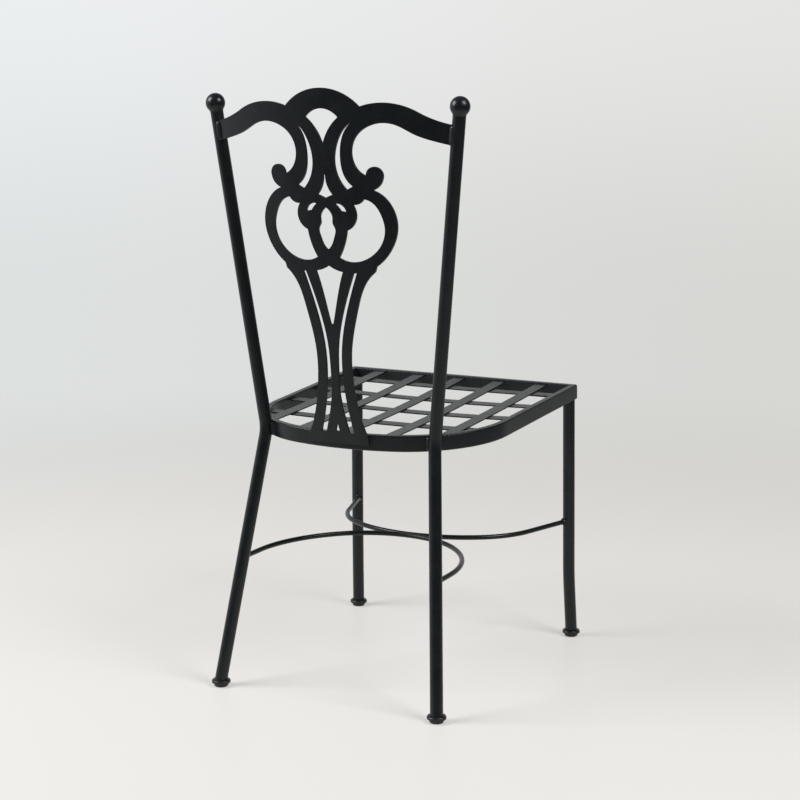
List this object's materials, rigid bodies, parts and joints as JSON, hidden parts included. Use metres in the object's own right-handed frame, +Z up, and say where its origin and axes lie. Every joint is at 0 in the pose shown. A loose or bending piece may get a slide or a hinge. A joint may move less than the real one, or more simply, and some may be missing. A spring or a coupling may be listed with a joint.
{
  "type": "metal dining chair",
  "caption": "Welded steel side chair with an open woven strap seat, a pierced and bowed back plate, ball-topped back posts and bowed rod stretchers, in black powder coat.",
  "frame": {"origin": "on the floor, at the middle of the footprint's box", "axes": "+Z up, the front of the chair toward -Y, +X to the sitter's left"},
  "size_m": [0.444, 0.5288, 0.94],
  "materials": {
    "powder_coat": "satin black powder coat",
    "glide_plastic": "black moulded plastic"
  },
  "bodies": {
    "root": {"front_leg_left": "powder_coat", "front_leg_right": "powder_coat", "back_post_left": "powder_coat", "back_post_right": "powder_coat", "seat_rim_front": "powder_coat", "seat_rim_bow": "powder_coat", "seat_strap_1": "powder_coat", "seat_strap_2": "powder_coat", "seat_strap_3": "powder_coat", "seat_strap_4": "powder_coat", "seat_strap_5": "powder_coat", "seat_cross_strap_1": "powder_coat", "seat_cross_strap_2": "powder_coat", "seat_cross_strap_3": "powder_coat", "seat_cross_strap_4": "powder_coat", "back_plate": "powder_coat", "front_stretcher": "powder_coat", "rear_stretcher": "powder_coat", "post_welds": "powder_coat", "rail_welds": "powder_coat", "plate_foot_welds": "powder_coat", "stretcher_welds": "powder_coat", "stretcher_cross_weld": "powder_coat", "front_glide_left": "glide_plastic", "front_glide_right": "glide_plastic", "rear_glide_left": "glide_plastic", "rear_glide_right": "glide_plastic"}
  },
  "joints": []
}
